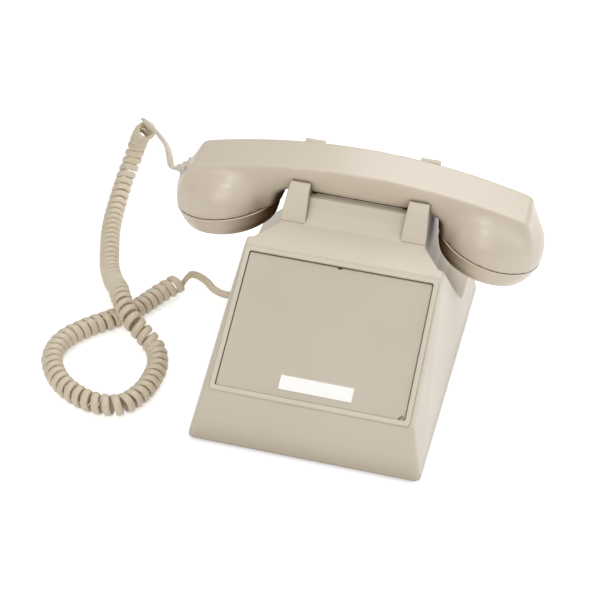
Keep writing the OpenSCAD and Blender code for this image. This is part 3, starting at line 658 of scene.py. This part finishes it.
# Painted highlight: the rims are lighter than the handset, for the bright line along the seams.
PAINTED_RIM_HIGHLIGHT = moulded_plastic("rim_painted_highlight", rgb(245, 232, 212), rgb(240, 226, 205), rough=(0.3, 0.36))
CORD = moulded_plastic("cord_jacket", rgb(232, 220, 198), rgb(225, 212, 188), rough=(0.3, 0.42), spots=500)
STEEL = metal("zinc_steel", rgb(190, 192, 196), rgb(160, 163, 168), stretch=(1, 6, 1))
BRASS = metal("gong_brass", rgb(214, 172, 96), rgb(188, 144, 70))
BLACK = moulded_plastic("black_plastic", rgb(34, 34, 36), rgb(24, 24, 26), rough=(0.4, 0.55))
CLEAR = clear_plastic()
RUBBER = rubber()
CARD = paper_card()
WINDING = copper_winding()

SLOT_MATERIALS = {
    "housing_plastic": HOUSING, "panel_plastic": PANEL, "handset_plastic": HANDSET,
    "cord_jacket": CORD, "zinc_steel": STEEL, "gong_brass": BRASS, "contact_brass": BRASS,
    "black_plastic": BLACK, "clear_plastic": CLEAR, "foot_rubber": RUBBER,
    "label_card": CARD, "coil_wire": WINDING,
}


def paint(obj, mat):
    obj.data.materials.clear()
    obj.data.materials.append(mat)


for part in frame["record"]["subparts"]:
    paint(nodes[part["node"]], SLOT_MATERIALS[part["material_slot"]])
paint(cord, CORD)
paint(handset, HANDSET)
paint(rib, HOUSING)
# The rims get the lighter plastic of the painted highlight.
for rim in rims:
    paint(rim, PAINTED_RIM_HIGHLIGHT)


# ---- Floor and light ----

WORLD_LIGHT = 0.21
FLOOR_GLOW = 0.55
FLOOR_HALF = 8
LIGHT_TARGET = (0, 0, 0.05)
LIGHTS = [      # name, place, size in metres, power in watts, colour
    ("side", (1.4, 0.3, 0.7), 1.0, 7.2, (0.95, 0.99, 1)),
    ("front", (-0.3, -1.5, 0.95), 1.0, 8.0, (1, 0.95, 0.88)),
    ("high", (-0.2, -0.9, 1.7), 0.35, 4.5, (1, 1, 1)),
    ("top", (0.0, 0.2, 1.9), 1.0, 8.0, (1, 1, 1)),
    ("back", (0.2, 1.3, 1.3), 1.0, 7.5, (1, 1, 1)),
]


def either_ray(tree, first, second):
    """1 where the ray is of one of two kinds, otherwise 0."""
    rays = tree.nodes.new("ShaderNodeLightPath")
    seen = tree.nodes.new("ShaderNodeMath")
    seen.operation = "MAXIMUM"
    tree.links.new(rays.outputs[first], seen.inputs[0])
    tree.links.new(rays.outputs[second], seen.inputs[1])
    return seen.outputs[0]


def add_floor():
    """White paper, which glows a little where the camera or a reflection sees it."""
    corners = [(-1, -1), (1, -1), (1, 1), (-1, 1)]
    floor = new_object("floor", [(x * FLOOR_HALF, y * FLOOR_HALF, 0) for x, y in corners], [(0, 1, 2, 3)])
    mat, tree, shader = node_material("floor_paper")
    shader.inputs["Base Color"].default_value = rgb(246, 246, 247)
    shader.inputs["Roughness"].default_value = 0.9
    glow = tree.nodes.new("ShaderNodeEmission")
    lit = tree.nodes.new("ShaderNodeMath")
    lit.operation = "MULTIPLY"
    lit.inputs[1].default_value = FLOOR_GLOW
    tree.links.new(either_ray(tree, "Is Camera Ray", "Is Glossy Ray"), lit.inputs[0])
    tree.links.new(lit.outputs[0], glow.inputs["Strength"])
    both = tree.nodes.new("ShaderNodeAddShader")
    out = tree.nodes["Material Output"]
    tree.links.new(shader.outputs[0], both.inputs[0])
    tree.links.new(glow.outputs[0], both.inputs[1])
    tree.links.new(both.outputs[0], out.inputs["Surface"])
    paint(floor, mat)


def add_world():
    """White to the camera, dim as a light."""
    world = bpy.data.worlds.new("studio")
    world.use_nodes = True
    tree = world.node_tree
    background = tree.nodes["Background"]
    background.inputs["Color"].default_value = (1, 1, 1, 1)
    seen = either_ray(tree, "Is Camera Ray", "Is Transmission Ray")
    strength = ranged(tree, seen, WORLD_LIGHT, 1.0)
    tree.links.new(strength.outputs["Result"], background.inputs["Strength"])
    bpy.context.scene.world = world


def area_light(name, place, size, power, colour):
    data = bpy.data.lights.new(name, "AREA")
    data.size = size
    data.energy = power
    data.color = colour
    lamp = bpy.data.objects.new(name, data)
    lamp.location = place
    aim = Vector(LIGHT_TARGET) - Vector(place)
    lamp.rotation_euler = aim.to_track_quat("-Z", "Y").to_euler()
    bpy.context.scene.collection.objects.link(lamp)


add_floor()
add_world()
for light in LIGHTS:
    area_light(*light)

bpy.context.scene.view_settings.view_transform = "Standard"
